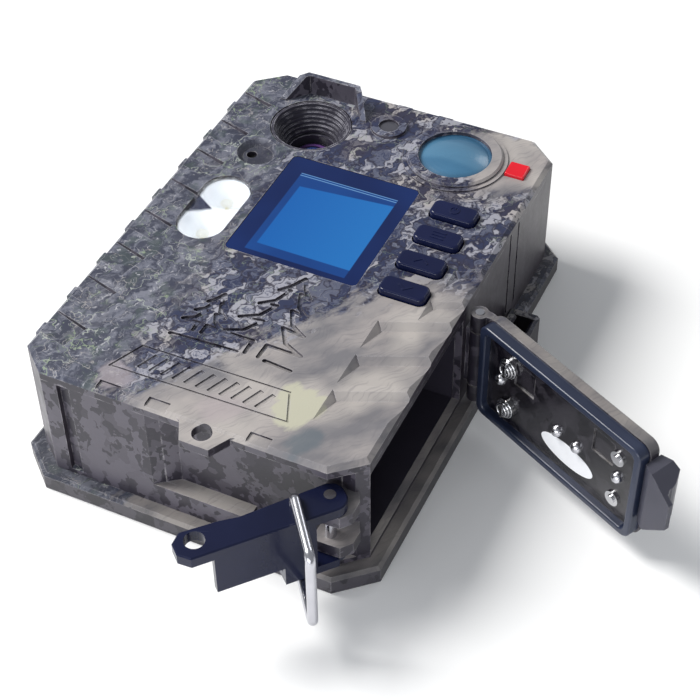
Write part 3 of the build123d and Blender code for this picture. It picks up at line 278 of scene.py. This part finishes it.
    # where the smooth wood lies: across the lower right of the face and round the upper right corner
    slope = t.math("ADD", t.math("SUBTRACT", t.math("MULTIPLY", x, 0.9), t.math("MULTIPLY", y, 0.62)), ragged)
    low_right = t.math("MULTIPLY", t.span(slope, 26.0, 31.0), t.span(t.math("ADD", y, ragged), 6.0, -4.0))
    corner_gap = t.vector("DISTANCE", bent, BARE_CORNER)
    corner = t.span(t.math("ADD", corner_gap, t.math("MULTIPLY", ragged, 0.5)), 17.0, 12.0)
    bare = t.math("MAXIMUM", t.math("MAXIMUM", low_right, corner), given["Smooth"])
    coat = t.mix(bare, coat, wood)

    # painted shade: a darker patch in and round the microphone recess
    mic_recess_shade = t.span(t.vector("DISTANCE", at, MIC_DISH), 6.0, 4.6)
    coat = t.mix(t.math("MULTIPLY", mic_recess_shade, 0.8), coat, rgb(0.020, 0.021, 0.038))

    # fallen leaves: a pale yellow one, a rosy one under it, and dark green blots
    for centre, size, low, high, colour, strength in (
        ((8.0, -61.5, 42.0), 0.6, 6.5, 3.5, rgb(0.36, 0.31, 0.32), 0.55),
        ((24.0, -54.5, 42.0), 0.8, 7.0, 5.6, rgb(0.44, 0.43, 0.33), 0.9),
        ((31.0, -64.0, 42.0), 0.5, 5.5, 3.5, rgb(0.10, 0.12, 0.14), 0.8),
        ((-22.0, -63.0, 42.0), 0.5, 5.0, 3.5, rgb(0.33, 0.29, 0.31), 0.6),
    ):
        gap = t.vector("DISTANCE", bent, centre)
        leaf = t.span(t.math("ADD", gap, t.math("MULTIPLY", ragged, size * 0.35)), low, high)
        coat = t.mix(t.math("MULTIPLY", leaf, strength), coat, colour)

    # walls: plum-brown bark print in upright streaks, with lighter flakes on the lower one, all painted far
    # darker than the face as painted shade
    streak_at = t.vector("MULTIPLY", curled, (0.42, 0.42, 0.07))
    streak = t.span(t.noise(streak_at, 1.0, 6.0, 0.68), 0.38, 0.66)
    wall_print_and_shade = t.mix(streak, rgb(0.011, 0.008, 0.015), rgb(0.046, 0.037, 0.053))
    chips = t.cells(t.vector("MULTIPLY", curled, (0.34, 0.34, 0.16)), 1.0, "F1", "Color")
    flaked = t.mix(t.span(t.parts(chips)[0], 0.35, 0.75), rgb(0.016, 0.014, 0.024), rgb(0.090, 0.082, 0.106))
    wall_print_and_shade = t.mix(t.math("MULTIPLY", below, 0.8), wall_print_and_shade, flaked)
    coat = t.mix(walls_in_shade, coat, wall_print_and_shade)
    t.feed(out["Colour"], t.vector("SCALE", coat, scale=given["Shade"]))
    t.feed(out["Height"], t.math("MULTIPLY", crack, mid_tone))
    return tree


GRAIN = make_grain()
WEAR_AND_HIGHLIGHT = make_wear_and_highlight()
SCUFFS = make_scuffs()
PRINT = make_bark_print()

# ---- materials ---------------------------------------------------------------------------------------


def new_material(name):
    made = bpy.data.materials.new(name)
    made.use_nodes = True
    t = Tree(made.node_tree)
    return made, t, made.node_tree.nodes["Principled BSDF"]


def camouflage(name, shade, gloss, coat=0.25, smooth=0.0):
    """Plastic with the printed camouflage under a thin lacquer."""
    made, t, skin = new_material(name)
    printed = t.place(PRINT, Shade=shade, Smooth=smooth)
    grain = t.place(GRAIN, Scale=1500.0, Gloss=gloss, Spread=0.22)
    # pale edges: partly rubbing, partly a painted highlight along the lit edges
    wear_and_highlight = t.place(WEAR_AND_HIGHLIGHT, Amount=0.55)
    t.feed(skin.inputs["Base Color"], t.mix(wear_and_highlight["Mask"], printed["Colour"], rgb(0.50, 0.48, 0.50)))
    t.feed(skin.inputs["Roughness"], grain["Roughness"])
    t.feed(skin.inputs["Normal"], t.bump(grain["Height"], 0.12, 0.10, t.bump(printed["Height"], 0.10, 0.05)))
    skin.inputs["Coat Weight"].default_value = coat
    skin.inputs["Coat Roughness"].default_value = 0.22
    return made


def plain(name, colour, gloss, spread=0.12, grain_scale=1200.0, bump=0.08, dark=None, coat=0.0,
          metal=0.0, wear_and_highlight=0.0, wear_and_highlight_colour=(0.4, 0.4, 0.42), scratch=0.0, shine=0.5):
    """A moulded or plated finish with slow tonal variation, fine grain, pale rubbed edges (on the hood rings
    a painted highlight on the ridges) and scratches.
    """
    made, t, skin = new_material(name)
    grain = t.place(GRAIN, Scale=grain_scale, Gloss=gloss, Spread=spread)
    deep = dark or tuple(0.72 * c for c in colour)
    base = t.mix(t.span(grain["Patch"], 0.35, 0.65), rgb(*deep), rgb(*colour))
    if wear_and_highlight:
        base = t.mix(t.place(WEAR_AND_HIGHLIGHT, Amount=wear_and_highlight)["Mask"], base, rgb(*wear_and_highlight_colour))
    if scratch:
        lines = t.place(SCUFFS, Amount=scratch)["Mask"]
        base = t.mix(lines, base, rgb(*wear_and_highlight_colour))
        t.feed(skin.inputs["Roughness"], t.math("ADD", grain["Roughness"], t.math("MULTIPLY", lines, 0.25)))
    else:
        t.feed(skin.inputs["Roughness"], grain["Roughness"])
    t.feed(skin.inputs["Base Color"], base)
    t.feed(skin.inputs["Normal"], t.bump(grain["Height"], bump, 0.08))
    skin.inputs["Metallic"].default_value = metal
    skin.inputs["Coat Weight"].default_value = coat
    skin.inputs["Coat Roughness"].default_value = 0.08
    skin.inputs["IOR"].default_value = MOULDED_IOR
    skin.inputs["Specular IOR Level"].default_value = shine
    return made


def screen_cover(name):
    """Navy glass: a black-blue border, a bevelled frame, a brighter panel and two pale reflection lines."""
    made, t, skin = new_material(name)
    at = t.vector("SCALE", t.node("ShaderNodeTexCoord").outputs["Object"], scale=1000.0)
    x, y = t.parts(at)[0:2]
    frame_x = t.span(t.math("ABSOLUTE", t.math("SUBTRACT", x, 0.2)), 14.95, 14.7)
    frame_y = t.span(t.math("ABSOLUTE", t.math("SUBTRACT", y, 10.6)), 17.6, 17.35)
    framed = t.math("MULTIPLY", frame_x, frame_y)
    top = t.math("SUBTRACT", y, t.math("MULTIPLY", x, 0.10))
    tall = t.math("MULTIPLY", t.span(y, -3.8, -3.5), t.span(top, 23.9, 23.5))
    panel = t.math("MULTIPLY", t.span(x, -12.7, -12.4), tall)
    lit = t.math("MULTIPLY", framed, panel)
    drift = t.span(t.noise(at, 0.035, 2.0), 0.35, 0.65)
    border = t.mix(drift, rgb(0.002, 0.010, 0.062), rgb(0.004, 0.018, 0.095))
    shelf = t.mix(drift, rgb(0.004, 0.036, 0.165), rgb(0.006, 0.052, 0.215))
    glow = t.mix(t.span(x, -12.0, 15.0), rgb(0.006, 0.092, 0.330), rgb(0.012, 0.130, 0.390))
    from_pair = t.math("ABSOLUTE", t.math("SUBTRACT", y, 27.5))
    line = t.span(t.math("ABSOLUTE", t.math("SUBTRACT", from_pair, 0.45)), 0.22, 0.08)
    line = t.math("MULTIPLY", line, t.math("MULTIPLY", framed, 0.7))
    shown = t.mix(lit, t.mix(framed, border, shelf), glow)
    t.feed(skin.inputs["Base Color"], t.mix(line, shown, rgb(0.16, 0.34, 0.58)))
    grain = t.place(GRAIN, Scale=600.0, Gloss=0.14, Spread=0.05)
    t.feed(skin.inputs["Roughness"], grain["Roughness"])
    t.feed(skin.inputs["Normal"], t.bump(grain["Patch"], 0.03, 0.05))
    skin.inputs["Specular IOR Level"].default_value = 0.3
    skin.inputs["Coat Weight"].default_value = 0.15
    skin.inputs["Coat Roughness"].default_value = 0.05
    return made


def lamp_bowls(name):
    """Mirror-bright white bowls, painted a little brighter with a faint glow, joined by white on the right
    and by a dark wedge on the left.
    """
    made, t, skin = new_material(name)
    at = t.vector("SCALE", t.node("ShaderNodeTexCoord").outputs["Object"], scale=1000.0)
    x, y, z = t.parts(at)[0:3]
    reach = t.math("ABSOLUTE", t.math("SUBTRACT", y, LAMPS_MIDDLE_Y))
    wedge = t.math("ADD", reach, t.math("MULTIPLY", t.math("ADD", x, 36.6), 0.62))
    dark = t.math("MULTIPLY", t.span(wedge, 3.9, 3.4), t.span(z, 39.2, 39.9))
    patch = t.noise(at, 0.16, 2.0)
    bright = t.mix(t.span(patch, 0.4, 0.6), rgb(0.80, 0.84, 0.90), rgb(0.93, 0.95, 0.98))
    t.feed(skin.inputs["Base Color"], t.mix(dark, bright, rgb(0.010, 0.016, 0.060)))
    grain = t.place(GRAIN, Scale=700.0, Gloss=0.16, Spread=0.06)
    t.feed(skin.inputs["Roughness"], grain["Roughness"])
    t.feed(skin.inputs["Normal"], t.bump(grain["Height"], 0.03, 0.05))
    # painted light: the bowls glow faintly so they look brighter; they are not lit lamps
    t.feed(skin.inputs["Emission Color"], t.mix(dark, rgb(0.9, 0.95, 1.0), rgb(0.0, 0.0, 0.0)))
    skin.inputs["Emission Strength"].default_value = 0.28
    skin.inputs["Coat Weight"].default_value = 0.4
    return made


def coated_glass(name):
    """Dark lens glass with painted reflections: violet and blue glints of its coating as rings, stronger
    towards one side.
    """
    made, t, skin = new_material(name)
    at = t.vector("SCALE", t.node("ShaderNodeTexCoord").outputs["Object"], scale=1000.0)
    x, y = t.parts(at)[0:2]
    from_middle = t.vector("DISTANCE", at, LENS_GLASS)
    # painted reflection: coloured glints of the coating as rings round the lens middle
    violet = t.span(t.math("ABSOLUTE", t.math("SUBTRACT", from_middle, 4.6)), 1.3, 0.2, smooth=True)
    blue = t.span(t.math("ABSOLUTE", t.math("SUBTRACT", from_middle, 2.4)), 0.9, 0.1, smooth=True)
    upper = t.span(t.math("ADD", x, y), 25.0, 32.0)
    violet = t.math("MULTIPLY", violet, t.span(upper, 0.0, 1.0, 0.15, 0.9))
    base = t.mix(violet, rgb(0.008, 0.007, 0.022), rgb(0.200, 0.085, 0.330))
    base = t.mix(t.math("MULTIPLY", blue, 0.6), base, rgb(0.030, 0.070, 0.260))
    t.feed(skin.inputs["Base Color"], base)
    grain = t.place(GRAIN, Scale=300.0, Gloss=0.06, Spread=0.03)
    t.feed(skin.inputs["Roughness"], grain["Roughness"])
    t.feed(skin.inputs["Normal"], t.bump(grain["Patch"], 0.02, 0.05))
    skin.inputs["Coat Weight"].default_value = 1.0
    skin.inputs["Coat Roughness"].default_value = 0.03
    return made


def motion_lens(name):
    """Ribbed milky-blue lens, lighter in a band across its middle."""
    made, t, skin = new_material(name)
    at = t.vector("SCALE", t.node("ShaderNodeTexCoord").outputs["Object"], scale=1000.0)
    from_middle = t.vector("DISTANCE", at, MOTION_LENS)
    y = t.parts(at)[1]
    band = t.span(t.math("ABSOLUTE", t.math("SUBTRACT", y, 52.5)), 5.5, 3.0, smooth=True)
    cloud = t.noise(t.along(at, 20.0, 11.0, 5.0), 1.0, 3.0)
    base = t.mix(cloud, rgb(0.026, 0.098, 0.185), rgb(0.052, 0.165, 0.285))
    base = t.mix(t.math("MULTIPLY", band, 0.35), base, rgb(0.105, 0.240, 0.360))
    base = t.mix(t.span(from_middle, 8.8, 11.0), base, rgb(0.022, 0.070, 0.140))
    t.feed(skin.inputs["Base Color"], base)
    grain = t.place(GRAIN, Scale=400.0, Gloss=0.28, Spread=0.12)
    t.feed(skin.inputs["Roughness"], grain["Roughness"])
    ribs = t.math("SINE", t.math("MULTIPLY", from_middle, 5.5))
    t.feed(skin.inputs["Normal"], t.bump(ribs, 0.05, 0.08))
    skin.inputs["Coat Weight"].default_value = 0.35
    skin.inputs["Coat Roughness"].default_value = 0.12
    return made


def clear(name, colour):
    """Clear moulded plastic or glass with faint flow marks."""
    made, t, skin = new_material(name)
    skin.inputs["Base Color"].default_value = rgb(*colour)
    grain = t.place(GRAIN, Scale=300.0, Gloss=0.03, Spread=0.03)
    t.feed(skin.inputs["Roughness"], grain["Roughness"])
    t.feed(skin.inputs["Normal"], t.bump(grain["Patch"], 0.02, 0.05))
    skin.inputs["Transmission Weight"].default_value = 1.0
    skin.inputs["Alpha"].default_value = 0.25
    skin.inputs["IOR"].default_value = CLEAR_IOR
    return made


MATERIALS = {material.name: material for material in (
    # the rear, door panel and lens ring copies scale the same print darker (0.6, 0.30) or a little lighter
    # (1.05): painted shade and light on those parts
    camouflage("camouflage, front", 1.0, 0.44, 0.12),
    camouflage("camouflage, rear", 0.6, 0.46, 0.12),
    camouflage("camouflage, door panel", 0.30, 0.24, 0.35, smooth=0.35),
    camouflage("camouflage, lens ring", 1.05, 0.40, 0.12),
    plain("black buttons", (0.007, 0.011, 0.050), 0.26, coat=0.12, wear_and_highlight=0.25, wear_and_highlight_colour=(0.05, 0.06, 0.12),
          shine=0.25),
    plain("black lever", (0.008, 0.011, 0.038), 0.24, coat=0.1, wear_and_highlight=0.20, wear_and_highlight_colour=(0.035, 0.045, 0.085),
          scratch=0.12, shine=0.25),
    plain("slate tongue", (0.058, 0.058, 0.080), 0.42, wear_and_highlight=0.4, wear_and_highlight_colour=(0.2, 0.2, 0.23)),
    # painted highlight: the hood rings take the full edge mask in a pale colour, so the ring ridges look lit
    plain("hood brown", (0.052, 0.050, 0.070), 0.34, bump=0.05, dark=(0.035, 0.033, 0.045), wear_and_highlight=1.0,
          wear_and_highlight_colour=(0.55, 0.54, 0.60)),
    plain("seal rubber", (0.022, 0.030, 0.062), 0.30, bump=0.06, coat=0.2, wear_and_highlight=0.2,
          wear_and_highlight_colour=(0.12, 0.14, 0.2)),
    coated_glass("lens glass"),
    plain("sensor window", (0.060, 0.060, 0.075), 0.25, coat=0.4),
    lamp_bowls("white reflector"),
    plain("lamp chip", (0.82, 0.72, 0.30), 0.4, grain_scale=2500.0),
    plain("red window", (0.76, 0.004, 0.018), 0.26, dark=(0.62, 0.003, 0.014), coat=0.25, bump=0.03),
    plain("polished steel", (0.70, 0.70, 0.74), 0.24, metal=1.0, dark=(0.52, 0.52, 0.56), bump=0.03,
          scratch=0.5, wear_and_highlight_colour=(0.85, 0.85, 0.88)),
    plain("nickel plate", (0.80, 0.80, 0.82), 0.14, metal=1.0, dark=(0.62, 0.62, 0.64), bump=0.02),
    plain("machined brass", (0.78, 0.58, 0.26), 0.28, metal=1.0, dark=(0.55, 0.40, 0.18), scratch=0.4),
    plain("circuit board", (0.02, 0.14, 0.06), 0.35, coat=0.3),
    plain("component black", (0.03, 0.03, 0.032), 0.5),
    plain("bay lining", (0.030, 0.027, 0.040), 0.34, coat=0.2, wear_and_highlight=0.3, wear_and_highlight_colour=(0.1, 0.1, 0.12)),
    plain("blank label", (0.86, 0.87, 0.90), 0.35, dark=(0.78, 0.79, 0.83), bump=0.03),
    screen_cover("navy screen"),
    motion_lens("motion lens"),
    clear("clear cover", (0.93, 0.96, 1.0)),
)}

FINISH = {
    "camouflage, front": ["front_face", "case_walls", "latch_frame", "screw_posts", "lens_visor"],
    "camouflage, rear": ["rear_shell", "door_shell"],
    "camouflage, door panel": ["door_panel"],
    "camouflage, lens ring": ["pir_bezel"],
    "black buttons": ["power_button", "menu_button", "up_button", "down_button"],
    "black lever": ["latch_lever"],
    "slate tongue": ["door_tongue"],
    "hood brown": ["lens_hood", "lens_barrel"],
    "seal rubber": ["case_gasket", "door_gasket", "key_mat", "jack_plug"],
    "lens glass": ["lens_glass"],
    "sensor window": ["light_sensor_window"],
    "white reflector": ["lamp_reflector"],
    "lamp chip": ["lamp_chips"],
    "red window": ["status_window"],
    "polished steel": ["latch_bail", "latch_rivet", "hinge_pin", "door_screws", "case_screws", "pir_sensor",
                       "card_socket"],
    "nickel plate": ["door_springs", "door_contacts", "cell_contacts"],
    "machined brass": ["tripod_insert"],
    "circuit board": ["main_board", "sensor_board"],
    "component black": ["microphone", "key_switches", "power_jack"],
    "bay lining": ["battery_box"],
    "blank label": ["inspection_label"],
    "navy screen": ["screen_window", "display_module"],
    "motion lens": ["pir_lens"],
    "clear cover": ["lamp_window"],
}


def dress(node, material):
    """Gives a carried-over part its finish."""
    if not NODES[node].material_slots:
        NODES[node].data.materials.append(material)
    for slot in NODES[node].material_slots:
        slot.material = material


for finish, parts in FINISH.items():
    for part in parts:
        dress(part, MATERIALS[finish])

# ---- studio ------------------------------------------------------------------------------------------


def floor():
    """A large pale floor under the camera."""
    mesh = bpy.data.meshes.new("floor")
    half = 3.0
    shape = bmesh.new()
    corners = [shape.verts.new((sx * half, sy * half, 0)) for sx, sy in ((-1, -1), (1, -1), (1, 1), (-1, 1))]
    shape.faces.new(corners)
    shape.to_mesh(mesh)
    shape.free()
    made = bpy.data.objects.new("floor", mesh)
    bpy.context.scene.collection.objects.link(made)
    pale, _, skin = new_material("pale floor")
    skin.inputs["Base Color"].default_value = rgb(0.93, 0.93, 0.93)
    skin.inputs["Roughness"].default_value = 0.7
    skin.inputs["Specular IOR Level"].default_value = 0.1
    mesh.materials.append(pale)
    made.location.z = cad_box[0][2] - 0.0002
    return made


def softbox(name, place, target, size, power, colour=(1, 1, 1)):
    """One rectangular studio lamp pointed at a place."""
    lamp = bpy.data.lights.new(name, "AREA")
    lamp.shape = "RECTANGLE"
    lamp.size, lamp.size_y = size
    lamp.energy = power
    lamp.color = colour
    made = bpy.data.objects.new(name, lamp)
    bpy.context.scene.collection.objects.link(made)
    aim = Vector(target) - Vector(place)
    made.rotation_euler = aim.to_track_quat("-Z", "Y").to_euler()
    made.location = place


floor()
softbox("key light", (-0.75, -0.10, 0.95), (0, 0, 0.03), (0.5, 0.5), 17.0, (1.0, 0.99, 0.97))
softbox("front light", (0.10, -0.95, 0.35), (0, -0.05, 0.02), (0.8, 0.25), 4.5, (0.95, 0.97, 1.0))
softbox("back light", (0.30, 0.95, 0.70), (0, 0, 0.02), (0.5, 0.3), 1.5, (0.96, 0.98, 1.0))

world = bpy.data.worlds.new("studio")
bpy.context.scene.world = world
world.use_nodes = True
world.node_tree.nodes["Background"].inputs["Color"].default_value = rgb(0.93, 0.96, 1.0)
world.node_tree.nodes["Background"].inputs["Strength"].default_value = 0.35
bpy.context.scene.view_settings.view_transform = "Standard"

view = bpy.data.cameras.new("view")
view.sensor_width = 36.0
view.lens = 85.72
view_object = bpy.data.objects.new("view", view)
bpy.context.scene.collection.objects.link(view_object)
RIGHT = Vector((0.90534529, 0.42454857, -0.01041233))
DOWN = Vector((0.29282778, -0.64183423, -0.70873177))
AHEAD = Vector((-0.30757405, 0.63859795, -0.70540121))
axes = Matrix((RIGHT, -DOWN, -AHEAD)).transposed().to_4x4()
axes.translation = Vector((0.1571, -0.2989, 0.3383))
view_object.matrix_world = axes
bpy.context.scene.camera = view_object
